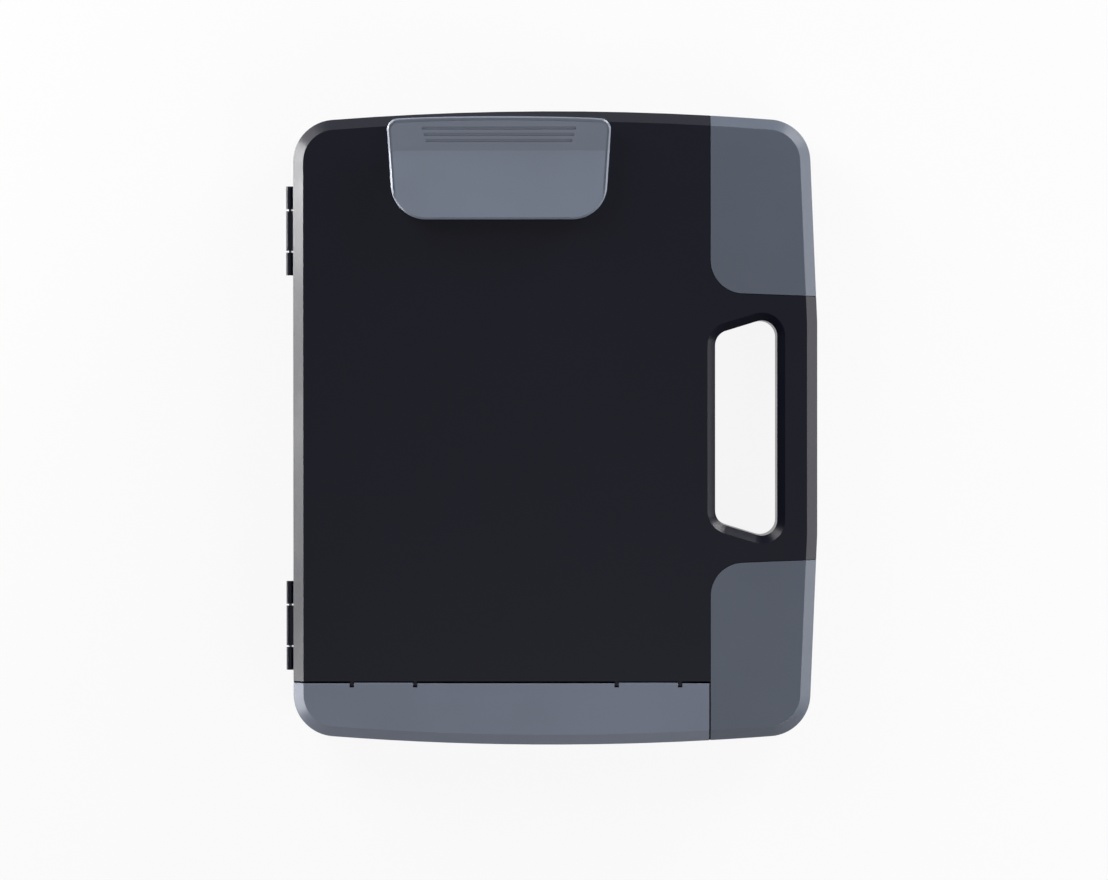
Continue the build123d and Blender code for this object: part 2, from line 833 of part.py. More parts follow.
save(clip_lever, "clip_lever")

# Jaw pad under the lever's front wall
pad_low_x = clip_x - clip_front_width / 2 + pad_side_inset
pad_high_x = clip_x + clip_front_width / 2 - pad_side_inset
pad_back_y = clip_front_y + pad_depth - relief_clearance
tongue_y = clip_front_y + clip_wall
tongue_z = clip_jaw_z + pad_tongue_height
with BuildPart() as clip_jaw_pad:
    add(
        box_between(
            (pad_low_x, clip_front_y + pad_front_inset, lid_top_z + pad_gap),
            (pad_high_x, pad_back_y, clip_jaw_z),
        )
    )
    add(box_between((pad_low_x, tongue_y, clip_jaw_z), (pad_high_x, tongue_y + pad_tongue_depth, tongue_z)))
save(clip_jaw_pad, "clip_jaw_pad")

# Clip bracket with two ears
ear_outer_x = lug_inner_x - ear_gap
with BuildPart() as clip_bracket:
    add(
        box_between(
            (clip_x - ear_outer_x, clip_pivot_y - bracket_depth / 2, lid_top_z),
            (clip_x + ear_outer_x, clip_pivot_y + bracket_depth / 2, bracket_top_z),
        )
    )
    for start_x in (clip_x - ear_outer_x, clip_x + ear_outer_x - bracket_thickness):
        add(rod((start_x, clip_pivot_y, clip_pivot_z), (1, 0, 0), bracket_thickness, lug_radius))
        add(
            box_between(
                (start_x, clip_pivot_y - lug_radius, lid_top_z),
                (start_x + bracket_thickness, clip_pivot_y + lug_radius, clip_pivot_z),
            )
        )
    add(
        rod(
            (clip_x - clip_pin_length / 2, clip_pivot_y, clip_pivot_z),
            (1, 0, 0),
            clip_pin_length,
            clip_pin_radius + running_clearance,
        ),
        mode=Mode.SUBTRACT,
    )
    with BuildSketch(Plane.XY.offset(lid_top_z)):
        with Locations(rivet_places):
            Circle(rivet_radius + running_clearance)
    extrude(amount=bracket_thickness, mode=Mode.SUBTRACT)
save(clip_bracket, "clip_bracket")

clip_pin_start = (clip_x - clip_pin_length / 2, clip_pivot_y, clip_pivot_z)
with BuildPart() as clip_pin:
    add(rod(clip_pin_start, (1, 0, 0), clip_pin_length, clip_pin_radius))
save(clip_pin, "clip_pin")

# Four rivets that clamp the bracket to the lid
rivet_grip = lid_top + bracket_thickness
with BuildPart() as clip_rivets:
    with BuildSketch(Plane.XY.offset(lid_top_z - lid_top)):
        with Locations(rivet_places):
            Circle(rivet_radius)
    extrude(amount=rivet_grip)
    for level, direction in ((bracket_top_z, 1), (lid_top_z - lid_top, -1)):
        with BuildSketch(Plane.XY.offset(level)):
            with Locations(rivet_places):
                Circle(rivet_head_radius)
        extrude(amount=direction * rivet_head_height)
    rims = clip_rivets.edges().filter_by(GeomType.CIRCLE).group_by(Axis.Z)
    fillet(rims[0] + rims[-1], rivet_head_height / 2)
save(clip_rivets, "clip_rivets")


def torsion_spring(middle_x, hand):
    """Torsion spring round the clip pin; hand is 1 or -1 and says which way its turns advance."""
    turned = 360 * spring_turns + 180 - clip_tab_angle
    quarters = round(turned / 90)
    width = spring_pitch * turned / 360

    def coil_point(turn):
        angle = math.radians(turn)
        return (
            middle_x + hand * (spring_pitch * turn / 360 - width / 2),
            clip_pivot_y - spring_coil_radius * math.sin(angle),
            clip_pivot_z - spring_coil_radius * math.cos(angle),
        )

    first = coil_point(0)
    last = coil_point(turned)
    leg_rise = math.sin(math.radians(clip_tab_angle))
    leg_run = math.cos(math.radians(clip_tab_angle))
    start = (first[0], first[1] + spring_leg_length, first[2])
    end = (last[0], last[1] + spring_leg_length * leg_run, last[2] + spring_leg_length * leg_rise)
    with BuildPart() as spring:
        with BuildLine() as path:
            Line(start, first)
            for quarter in range(quarters):
                ThreePointArc(
                    coil_point(turned * quarter / quarters),
                    coil_point(turned * (quarter + 0.5) / quarters),
                    coil_point(turned * (quarter + 1) / quarters),
                )
            Line(last, end)
        with BuildSketch(Plane(origin=start, z_dir=(0, -1, 0))):
            Circle(spring_wire_radius)
        sweep(path=path.wire())
    return spring


for hand, name in ((-1, "clip_spring_left"), (1, "clip_spring_right")):
    save(torsion_spring(clip_x + hand * spring_spread / 2, hand), name)

# Latch rocker, its pin and its leaf spring
plate_outer_x = right_x - latch_face_inset
plate_inner_x = plate_outer_x - latch_plate_thickness
foot_inner_x = plate_outer_x - latch_foot_thickness
hook_inner_x = catch_wall_x + relief_clearance
with BuildPart() as latch_rocker:
    add(
        box_between(
            (plate_inner_x, -latch_width / 2, latch_bottom_z),
            (plate_outer_x, latch_width / 2, latch_top_z),
        )
    )
    add(
        box_between(
            (foot_inner_x, -latch_width / 2, latch_bottom_z),
            (plate_outer_x, latch_width / 2, latch_pivot_z),
        )
    )
    add(
        box_between(
            (hook_inner_x, -latch_width / 2, latch_top_z - latch_hook_height),
            (plate_outer_x, latch_width / 2, latch_top_z),
        )
    )
    add(rod((latch_pivot_x, -latch_width / 2, latch_pivot_z), (0, 1, 0), latch_width, latch_hub_radius))
    add(
        rod(
            (latch_pivot_x, -latch_width / 2, latch_pivot_z),
            (0, 1, 0),
            latch_width,
            latch_pin_radius + running_clearance,
        ),
        mode=Mode.SUBTRACT,
    )
save(latch_rocker, "latch_rocker")

latch_pin_start = (latch_pivot_x, -latch_cheek_y, latch_pivot_z)
with BuildPart() as latch_pin:
    add(rod(latch_pin_start, (0, 1, 0), 2 * latch_cheek_y, latch_pin_radius))
save(latch_pin, "latch_pin")

leaf_low_z = latch_bottom_z
leaf_high_z = latch_pivot_z - latch_hub_radius - leaf_end_gap
leaf_crown_x = foot_inner_x - leaf_gap
leaf_middle_z = (leaf_low_z + leaf_high_z) / 2
with BuildPart() as latch_spring:
    with BuildSketch(Plane.XZ.offset(-leaf_width / 2)):
        with BuildLine():
            ThreePointArc(
                (latch_pocket_x, leaf_low_z),
                (leaf_crown_x, leaf_middle_z),
                (latch_pocket_x, leaf_high_z),
            )
            Line((latch_pocket_x, leaf_high_z), (latch_pocket_x, leaf_high_z - leaf_thickness))
            ThreePointArc(
                (latch_pocket_x, leaf_high_z - leaf_thickness),
                (leaf_crown_x - leaf_thickness, leaf_middle_z),
                (latch_pocket_x, leaf_low_z + leaf_thickness),
            )
            Line((latch_pocket_x, leaf_low_z + leaf_thickness), (latch_pocket_x, leaf_low_z))
        make_face()
    extrude(amount=leaf_width)
save(latch_spring, "latch_spring")

# Rubber feet in their pockets
for number, (foot_x, foot_y) in enumerate(foot_places, start=1):
    with BuildPart() as foot:
        with BuildSketch():
            with Locations((foot_x, foot_y)):
                Circle(foot_radius)
        extrude(amount=foot_height + foot_pocket_depth)
    save(foot, "foot_" + str(number))
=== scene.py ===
import logging
import math
from dataclasses import dataclass
from enum import Enum

import bmesh
import bpy
from mathutils import Matrix, Vector


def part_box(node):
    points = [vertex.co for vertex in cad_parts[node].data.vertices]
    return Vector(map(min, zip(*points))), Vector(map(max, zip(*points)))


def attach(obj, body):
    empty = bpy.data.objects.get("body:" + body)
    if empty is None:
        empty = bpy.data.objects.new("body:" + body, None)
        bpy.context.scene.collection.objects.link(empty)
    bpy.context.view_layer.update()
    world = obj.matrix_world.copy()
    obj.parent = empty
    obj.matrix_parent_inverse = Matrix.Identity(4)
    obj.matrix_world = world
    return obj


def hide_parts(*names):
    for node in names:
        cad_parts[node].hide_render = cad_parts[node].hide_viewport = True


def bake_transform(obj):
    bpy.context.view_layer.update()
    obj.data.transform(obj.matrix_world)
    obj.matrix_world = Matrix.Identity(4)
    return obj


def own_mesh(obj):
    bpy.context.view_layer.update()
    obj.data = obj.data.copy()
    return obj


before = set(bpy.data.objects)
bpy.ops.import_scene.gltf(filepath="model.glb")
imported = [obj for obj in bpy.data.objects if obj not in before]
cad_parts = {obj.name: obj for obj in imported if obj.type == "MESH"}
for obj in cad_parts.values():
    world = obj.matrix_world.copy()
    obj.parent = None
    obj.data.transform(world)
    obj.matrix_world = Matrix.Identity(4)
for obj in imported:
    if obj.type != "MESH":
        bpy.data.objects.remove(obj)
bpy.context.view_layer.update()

LOG = logging.getLogger("clipboard_case")
MM = 0.001
# Points closer together than these distances are merged into one.
SEAM = 0.01 * MM
FINE_SEAM = 0.002 * MM


class Body(Enum):
    """Rigid bodies of the case that the pieces made here ride on."""

    BASE = "base"
    LID = "lid"
    CLIP = "clip"
    LATCH = "latch"


class Slot(Enum):
    """Names of material slots, which nothing in this script assigns."""

    GREY = "grey_plastic"
    STEEL = "steel"
    RUBBER = "rubber"


def linear(red: float, green: float, blue: float) -> tuple[float, float, float, float]:
    """Turn a display colour into the linear one that a shader takes.

    Args:
        red: Red from 0 to 255.
        green: Green from 0 to 255.
        blue: Blue from 0 to 255.

    Returns:
        The linear colour with full opacity.
    """
    channels = []
    for part in (red, green, blue):
        level = part / 255
        channels.append(level / 12.92 if level <= 0.04045 else ((level + 0.055) / 1.055) ** 2.4)
    return (channels[0], channels[1], channels[2], 1.0)


def toned(colour: tuple[float, ...], share: float) -> tuple[float, float, float, float]:
    """Make a colour lighter or darker.

    Args:
        colour: The linear colour.
        share: What its channels are multiplied by.

    Returns:
        The new colour with full opacity.
    """
    red, green, blue = (part * share for part in colour[:3])
    return (red, green, blue, 1.0)


class Signal:
    """A number carried by a socket, which takes part in Python expressions."""

    def __init__(self, bench: "NodeTree", socket: bpy.types.NodeSocket) -> None:
        """Wrap a socket of a node tree."""
        self.bench = bench
        self.socket = socket

    def _maths(self, operation: str, first: "Signal | float", second: "Signal | float") -> "Signal":
        """Add one Math node.

        Args:
            operation: The node's operation.
            first: Its first value or signal.
            second: Its second value or signal.

        Returns:
            The node's result.
        """
        node = self.bench.node("ShaderNodeMath", {"operation": operation}, {0: first, 1: second})
        return Signal(self.bench, node.outputs[0])

    def __add__(self, other: "Signal | float") -> "Signal":
        """Sum of two signals."""
        return self._maths("ADD", self, other)

    def __radd__(self, other: float) -> "Signal":
        """Sum of a number and a signal."""
        return self._maths("ADD", other, self)

    def __sub__(self, other: "Signal | float") -> "Signal":
        """Difference of two signals."""
        return self._maths("SUBTRACT", self, other)

    def __rsub__(self, other: float) -> "Signal":
        """Difference of a number and a signal."""
        return self._maths("SUBTRACT", other, self)

    def __mul__(self, other: "Signal | float") -> "Signal":
        """Product of two signals."""
        return self._maths("MULTIPLY", self, other)

    def __rmul__(self, other: float) -> "Signal":
        """Product of a number and a signal."""
        return self._maths("MULTIPLY", other, self)

    def above(self, edge: float, width: float) -> "Signal":
        """Fade from 0 to 1 as the signal passes an edge.

        Args:
            edge: The value where the fade starts.
            width: How far the fade reaches.

        Returns:
            The faded mask.
        """
        node = self.bench.node(
            "ShaderNodeMapRange",
            {"interpolation_type": "SMOOTHSTEP"},
            {"Value": self, "From Min": edge, "From Max": edge + width},
        )
        return Signal(self.bench, node.outputs["Result"])


class NodeTree:
    """An emptied node tree and the one method that adds nodes to it."""

    def __init__(self, owner: bpy.types.Material | bpy.types.World) -> None:
        """Empty the owner's tree."""
        owner.use_nodes = True
        self.tree = owner.node_tree
        self.tree.nodes.clear()

    def node(
        self,
        kind: str,
        settings: dict[str, object] | None = None,
        inputs: dict[int | str, object] | None = None,
    ) -> bpy.types.Node:
        """Add a node.

        Args:
            kind: The node's type.
            settings: Its properties, set before its sockets.
            inputs: Values, sockets or signals of its sockets, by name or number.

        Returns:
            The new node.
        """
        node = self.tree.nodes.new(kind)
        for key, setting in (settings or {}).items():
            setattr(node, key, setting)
        for key, given in (inputs or {}).items():
            self.feed(node.inputs[key], given)
        return node

    def feed(self, socket: bpy.types.NodeSocket, given: object) -> None:
        """Give a socket a value, or link it to another socket or a signal."""
        if isinstance(given, Signal):
            self.tree.links.new(given.socket, socket)
        elif isinstance(given, bpy.types.NodeSocket):
            self.tree.links.new(given, socket)
        else:
            socket.default_value = given

    def seen_share(self, share: float) -> "Signal":
        """Share that holds for every ray that sees a surface, and not for the light that falls on others.

        Args:
            share: The share for camera, mirror and see-through rays.

        Returns:
            The share, 0 for other rays.
        """
        rays = self.node("ShaderNodeLightPath").outputs
        seen = Signal(self, rays["Is Camera Ray"]) + Signal(self, rays["Is Glossy Ray"])
        return (seen + Signal(self, rays["Is Transmission Ray"])) * share


class Bench(NodeTree):
    """One material's node tree with its Principled shader."""

    def __init__(self, name: str) -> None:
        """Make an empty material of that name."""
        self.material = bpy.data.materials.new(name)
        super().__init__(self.material)
        self.shader = self.node("ShaderNodeBsdfPrincipled")
        self.output = self.node("ShaderNodeOutputMaterial", None, {"Surface": self.shader.outputs[0]})
        self.place = self.node("ShaderNodeTexCoord").outputs["Object"]

    def scaled_place(self, scale: tuple[float, float, float]) -> bpy.types.NodeSocket:
        """Object coordinates, stretched.

        Args:
            scale: Stretch along each axis.

        Returns:
            The mapped coordinates.
        """
        return self.node("ShaderNodeMapping", None, {"Vector": self.place, "Scale": scale}).outputs[0]

    def noise(self, size: float, detail: float, place: bpy.types.NodeSocket | None = None) -> Signal:
        """Smooth noise.

        Args:
            size: Width of one blotch, in metres.
            detail: Number of finer layers.
            place: Coordinates to read, or none for the object's own.

        Returns:
            Noise from 0 to 1.
        """
        inputs = {"Vector": place or self.place, "Scale": 1 / size, "Detail": detail}
        return Signal(self, self.node("ShaderNodeTexNoise", None, inputs).outputs[0])

    def pits(self, size: float) -> Signal:
        """Small round pits, such as spark erosion leaves in a mould.

        Args:
            size: Width of one pit, in metres.

        Returns:
            Distance to the middle of the nearest pit, from 0.
        """
        inputs = {"Vector": self.place, "Scale": 1 / size}
        node = self.node("ShaderNodeTexVoronoi", {"feature": "SMOOTH_F1"}, inputs)
        return Signal(self, node.outputs["Distance"])

    def blend(self, mask: Signal, low: tuple[float, ...], high: tuple[float, ...]) -> bpy.types.NodeSocket:
        """Mix two colours.

        Args:
            mask: Share of the second colour.
            low: Colour where the mask is 0.
            high: Colour where the mask is 1.

        Returns:
            The mixed colour.
        """
        node = self.node("ShaderNodeMix", {"data_type": "RGBA"}, {0: mask, 6: low, 7: high})
        return node.outputs[2]

    def bump(self, height: Signal, depth: float) -> bpy.types.NodeSocket:
        """Turn a height into a normal.

        Args:
            height: The height, from 0 to 1.
            depth: The height of 1, in metres.

        Returns:
            The bumped normal.
        """
        node = self.node("ShaderNodeBump", None, {"Height": height, "Distance": depth, "Strength": 1.0})
        return node.outputs[0]


@dataclass(frozen=True)
class MouldedPlastic:
    """Injection-moulded plastic from a spark-eroded mould."""

    name: str
    colour: tuple[float, float, float, float]
    roughness: float
    specular: float
    grain_size: float = 0.45 * MM
    grain_depth: float = 0.007 * MM
    pit_share: float = 0.7
    mottle_size: float = 60 * MM
    mottle_share: float = 0.06
    mottle_roughness: float = 0.02
    sheen_size: float = 26 * MM
    sheen_gloss: float = 0.03
    # edge_highlight_lift lightens the edge copy's colour, a painted highlight along the rounded edges;
    # polish_gloss and polish_wear smooth the surface as real handling does.
    edge_highlight_lift: float = 0.35
    polish_gloss: float = 0.3
    polish_wear: float = 0.6

    def make(self, polish_and_highlight: float = 0.0) -> bpy.types.Material:
        """Make the material.

        Args:
            polish_and_highlight: How far handling has smoothed the surface, from 0 to 1. The same share
                lightens the colour as a painted highlight along the rounded edges.

        Returns:
            The plastic's material.
        """
        bench = Bench(self.name + ("_edge" if polish_and_highlight else ""))
        # The edge copy's lighter colour is a painted highlight along the rounded edges.
        fair = toned(self.colour, 1 + self.edge_highlight_lift * polish_and_highlight)
        deep = toned(fair, 1 - self.mottle_share)
        mottle = bench.noise(self.mottle_size, 3.0)
        grain = bench.pits(self.grain_size)
        fine = bench.noise(self.grain_size / 2, 1.0)
        sheen = bench.noise(self.sheen_size, 2.0).above(0.45, 0.3)
        colour = bench.blend(mottle.above(0.3, 0.4), deep, fair)
        bench.feed(bench.shader.inputs["Base Color"], colour)
        base = self.roughness * (1 - self.polish_gloss * polish_and_highlight)
        rough = base + mottle * self.mottle_roughness + (1 - sheen) * self.sheen_gloss
        bench.feed(bench.shader.inputs["Roughness"], rough)
        bench.feed(bench.shader.inputs["Specular IOR Level"], self.specular)
        height = grain * self.pit_share + fine * (1 - self.pit_share)
        depth = self.grain_depth * (1 - self.polish_wear * polish_and_highlight)
        bench.feed(bench.shader.inputs["Normal"], bench.bump(height, depth))
        return bench.material


@dataclass(frozen=True)
class DrawnSteel:
    """Bright steel wire, rod or strip with fine drawing lines."""

    name: str
    colour: tuple[float, float, float, float]
    roughness: float
    lines_per_metre: tuple[float, float, float]
    line_depth: float = 0.006 * MM
    line_roughness: float = 0.12
    tarnish_size: float = 9 * MM
    tarnish_tone: float = 0.72
    tarnish_roughness: float = 0.08

    def make(self) -> bpy.types.Material:
        """Make the material, whose lines run along the axis that has the fewest of them."""
        bench = Bench(self.name)
        lines = bench.noise(1.0, 2.0, bench.scaled_place(self.lines_per_metre))
        tarnish = bench.noise(self.tarnish_size, 2.0)
        dull = toned(self.colour, self.tarnish_tone)
        colour = bench.blend(tarnish.above(0.35, 0.4), dull, self.colour)
        bench.feed(bench.shader.inputs["Base Color"], colour)
        bench.feed(bench.shader.inputs["Metallic"], 1.0)
        rough = self.roughness + lines * self.line_roughness + tarnish * self.tarnish_roughness
        bench.feed(bench.shader.inputs["Roughness"], rough)
        bench.feed(bench.shader.inputs["Normal"], bench.bump(lines, self.line_depth))
        return bench.material


@dataclass(frozen=True)
class SoftRubber:
    """Matt rubber with a fine dusty grain."""

    name: str
    colour: tuple[float, float, float, float]
    roughness: float = 0.78
    specular: float = 0.35
    dust_size: float = 5 * MM
    dust_tones: tuple[float, float, float, float] = (1.5, 1.5, 1.45, 1.0)
    grain_size: float = 0.25 * MM
    grain_depth: float = 0.02 * MM
    grain_roughness: float = 0.1

    def make(self) -> bpy.types.Material:
        """Make the material."""
        bench = Bench(self.name)
        dust = bench.noise(self.dust_size, 3.0)
        grain = bench.noise(self.grain_size, 2.0)
        dusty = tuple(part * share for part, share in zip(self.colour, self.dust_tones))
        colour = bench.blend(dust.above(0.45, 0.3), self.colour, dusty)
        bench.feed(bench.shader.inputs["Base Color"], colour)
        bench.feed(bench.shader.inputs["Roughness"], self.roughness + grain * self.grain_roughness)
        bench.feed(bench.shader.inputs["Specular IOR Level"], self.specular)
        bench.feed(bench.shader.inputs["Normal"], bench.bump(grain, self.grain_depth))
        return bench.material


BLACK_PLASTIC = MouldedPlastic("black_plastic", linear(16, 17, 32), 0.28, 0.42)
GREY_PLASTIC = MouldedPlastic("grey_plastic", linear(94, 101, 114), 0.28, 0.42)
DOOR_PLASTIC = MouldedPlastic("door_plastic", linear(120, 127, 143), 0.28, 0.42)
CLIP_PLASTIC = MouldedPlastic("clip_plastic", linear(127, 135, 150), 0.22, 0.42, grain_depth=0.005 * MM)
LATCH_PLASTIC = MouldedPlastic("latch_plastic", linear(97, 104, 115), 0.40, 0.40)
ROD_STEEL_ALONG_X = DrawnSteel("rod_steel_x", linear(196, 197, 199), 0.26, (60.0, 5000.0, 5000.0))
ROD_STEEL_ALONG_Y = DrawnSteel("rod_steel_y", linear(196, 197, 199), 0.26, (5000.0, 60.0, 5000.0))
SPRING_STEEL = DrawnSteel("spring_steel", linear(176, 177, 180), 0.32, (900.0, 900.0, 900.0))
SHEET_STEEL = DrawnSteel("sheet_steel", linear(184, 186, 190), 0.36, (70.0, 3200.0, 3200.0))
RUBBER = SoftRubber("foot_rubber", linear(30, 30, 32))
PAD_RUBBER = SoftRubber("pad_rubber", linear(34, 34, 36), 0.7)


@dataclass(frozen=True)
class SoftEdges:
    """Rounding that a mould or a tumbled part has along its edges."""

    radius: float
    segments: int = 3
    smallest_angle: float = 24.0
    join_flats: bool = True
    flat_angle: float = 0.05
    weld_distance: float = FINE_SEAM
    flat_weight: int = 80

    def apply(self, node: bpy.types.Object) -> None:
        """Add the modifiers that join the node's triangles and round its edges.

        Args:
            node: The CAD node, whose own mesh stays as it is.
        """
        weld = node.modifiers.new("joined", "WELD")
        weld.merge_threshold = self.weld_distance
        if self.join_flats:
            flat = node.modifiers.new("flats", "DECIMATE")
            flat.decimate_type = "DISSOLVE"
            flat.angle_limit = math.radians(self.flat_angle)
        rounding = node.modifiers.new("rounding", "BEVEL")
        rounding.width = self.radius
        rounding.segments = self.segments
        rounding.limit_method = "ANGLE"
        rounding.angle_limit = math.radians(self.smallest_angle)
        # The rounded faces take slot 1, where the parts put a lighter copy of their plastic: a painted
        # highlight along the edges.
        rounding.material = 1
        shading = node.modifiers.new("shading", "WEIGHTED_NORMAL")
        shading.mode = "FACE_AREA"
        shading.weight = self.flat_weight
        shading.keep_sharp = True


def dress_node(
    name: str,
    finish: bpy.types.Material,
    edge: bpy.types.Material | None,
    edges: SoftEdges | None,
) -> None:
    """Give a CAD node its finish and its soft edges.

    Args:
        name: The node's name.
        finish: Material of its faces.
        edge: Material of its rounded edges, or none for the same one.
        edges: Its rounding, or none to keep its edges sharp.
    """
    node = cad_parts[name]
    while len(node.material_slots) < 2:
        node.data.materials.append(None)
    node.material_slots[0].material = finish
    node.material_slots[1].material = edge or finish
    if edges:
        edges.apply(node)
    LOG.info("dressed %s with %s", name, finish.name)


def extend_ring(mesh: bmesh.types.BMesh, ring: list, reach: Vector) -> list:
    """Pull an open ring of edges out into a straight tube.

    Args:
        mesh: The bmesh that holds the ring.
        ring: The ring's edges.
        reach: How far to pull it.

    Returns:
        The edges of the ring at the far end.
    """
    made = bmesh.ops.extrude_edge_only(mesh, edges=ring)["geom"]
    points = [part for part in made if isinstance(part, bmesh.types.BMVert)]
    bmesh.ops.translate(mesh, vec=reach, verts=points)
    kept = set(points)
    return [part for part in made if isinstance(part, bmesh.types.BMEdge) and kept.issuperset(part.verts)]


def finish_piece(
    mesh: bmesh.types.BMesh,
    name: str,
    body: Body | None,
    material: bpy.types.Material,
) -> bpy.types.Object:
    """Turn a bmesh into a piece that rides on a body.

    Args:
        mesh: The shape, in metres, at its place.
        name: The piece's name.
        body: The body that it rides on, or none for a piece that rides on no body.
        material: Its material.

    Returns:
        The piece.
    """
    bmesh.ops.recalc_face_normals(mesh, faces=mesh.faces)
    data = bpy.data.meshes.new(name)
    mesh.to_mesh(data)
    mesh.free()
    data.polygons.foreach_set("use_smooth", [True] * len(data.polygons))
    data.materials.append(material)
    piece = bpy.data.objects.new(name, data)
    bpy.context.scene.collection.objects.link(piece)
    if body:
        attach(piece, body.value)
    LOG.info("built %s, %d faces", name, len(data.polygons))
    return piece


@dataclass
class BaseTray:
    """Lower half of the case with its rubber feet and hinge pins."""

    edge_radius: float = 0.30 * MM
    pin_edge_radius: float = 0.20 * MM
    foot_radius: float = 6.0 * MM
    foot_edge: float = 0.5 * MM
    tread_depth: float = 0.35 * MM
    tread_slope: float = 0.3 * MM
    tread_rings: tuple[tuple[float, float], ...] = ((1.7 * MM, 2.7 * MM), (3.6 * MM, 5.5 * MM))
    foot_steps: int = 64
    feet: tuple[str, ...] = ("foot_1", "foot_2", "foot_3", "foot_4")

    def dress(self) -> None:
        """Give the tray and the hinge pins their finishes."""
        edges = SoftEdges(self.edge_radius)
        dress_node("base_tray", BLACK_PLASTIC.make(), BLACK_PLASTIC.make(0.5), edges)
        steel = ROD_STEEL_ALONG_Y.make()
        for name in ("hinge_pin_lower", "hinge_pin_upper", "latch_pin"):
            dress_node(name, steel, None, SoftEdges(self.pin_edge_radius))

    def build_feet(self) -> None:
        """Turn a treaded rubber foot in the place of each plain one."""
        rubber = RUBBER.make()
        for name in self.feet:
            low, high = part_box(name)
            middle = (low + high) / 2
            mesh = bmesh.new()
            section = self._foot_section(mesh, middle, low.z, high.z)
            bmesh.ops.spin(
                mesh,
                geom=section,
                cent=middle,
                axis=(0, 0, 1),
                angle=math.tau,
                steps=self.foot_steps,
                use_merge=True,
            )
            bmesh.ops.remove_doubles(mesh, verts=mesh.verts, dist=SEAM)
            piece = finish_piece(mesh, name + "_tread", Body.BASE, rubber)
            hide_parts(name)

    def _foot_section(self, mesh: bmesh.types.BMesh, middle: Vector, low: float, high: float) -> list:
        """Half section of a foot.

        Args:
            mesh: The bmesh to draw in.
            middle: The foot's middle.
            low: Height of its underside.
            high: Height of its top.

        Returns:
            The section's points and edges.
        """
        groove = low + self.tread_depth
        section = [(0.0, groove)]
        for inner, outer in self.tread_rings:
            section += [(inner - self.tread_slope, groove), (inner, low), (outer, low)]
            if outer + self.foot_edge < self.foot_radius:
                section.append((outer + self.tread_slope, groove))
        section += [(self.foot_radius, low + self.foot_edge), (self.foot_radius, high), (0.0, high)]
        points = [mesh.verts.new((middle.x + reach, middle.y, height)) for reach, height in section]
        edges = [mesh.edges.new(pair) for pair in zip(points, points[1:])]
        return points + edges


@dataclass
class Lid:
    """Writing surface of the case with its two corner covers."""

    edge_radius: float = 0.35 * MM
    cover_edge_radius: float = 0.45 * MM

    def dress(self) -> None:
        """Give the lid and its corner covers their finishes."""
        edges = SoftEdges(self.edge_radius)
        dress_node("lid_shell", BLACK_PLASTIC.make(), BLACK_PLASTIC.make(0.7), edges)
        grey, edge = GREY_PLASTIC.make(), GREY_PLASTIC.make(0.6)
        for name in ("top_corner_cover", "bottom_corner_cover"):
            dress_node(name, grey, edge, SoftEdges(self.cover_edge_radius))


@dataclass
class PenDoor:
    """Door of the pen compartment and the pins that it turns on."""

    edge_radius: float = 0.30 * MM
    pin_edge_radius: float = 0.12 * MM

    def dress(self) -> None:
        """Give the door and its pins their finishes."""
        edges = SoftEdges(self.edge_radius, join_flats=False)
        dress_node("pen_door", DOOR_PLASTIC.make(), DOOR_PLASTIC.make(0.6), edges)
        steel = ROD_STEEL_ALONG_X.make()
        for name in ("door_pin_left", "door_pin_right"):
            dress_node(name, steel, None, SoftEdges(self.pin_edge_radius))


@dataclass
class TorsionSpring:
    """Spring of round wire, wound round the clip's pin.

    Its middle lies on the pin, and its hand is -1 or 1 for the side that it is wound towards.
    """

    middle: Vector
    hand: int
    wire_radius: float = 0.6 * MM
    coil_radius: float = 2.5 * MM
    pitch: float = 1.7 * MM
    whole_turns: int = 5
    leg_rise: float = 16.3
    leg_length: float = 12.0 * MM
    wire_sides: int = 12
    steps_per_turn: int = 32

    def wind(self) -> bmesh.types.BMesh:
        """Wind the wire from its lower leg through the turns to its upper leg.

        Returns:
            The spring's shape.
        """
        turned = self.whole_turns * 360 + 180 - self.leg_rise
        steps = round(turned / 360 * self.steps_per_turn)
        width = self.hand * self.pitch * turned / 360
        foot = self.middle + Vector((-width / 2, self.leg_length, -self.coil_radius))
        mesh = bmesh.new()
        placed = Matrix.Translation(foot) @ Matrix.Rotation(math.radians(90), 4, "X")
        bmesh.ops.create_circle(mesh, segments=self.wire_sides, radius=self.wire_radius, matrix=placed)
        ring = extend_ring(mesh, mesh.edges[:], Vector((0.0, -self.leg_length, 0.0)))
        coil = bmesh.ops.spin(
            mesh,
            geom=ring,
            cent=self.middle,
            axis=(-1, 0, 0),
            dvec=(width / steps, 0, 0),
            angle=math.radians(turned),
            steps=steps,
        )
        ring = [part for part in coil["geom_last"] if isinstance(part, bmesh.types.BMEdge)]
        rise = math.radians(self.leg_rise)
        extend_ring(mesh, ring, Vector((0.0, math.cos(rise), math.sin(rise))) * self.leg_length)
        bmesh.ops.remove_doubles(mesh, verts=mesh.verts, dist=FINE_SEAM)
        ends = [edge for edge in mesh.edges if edge.is_boundary]
        bmesh.ops.holes_fill(mesh, edges=ends, sides=self.wire_sides)
        return mesh


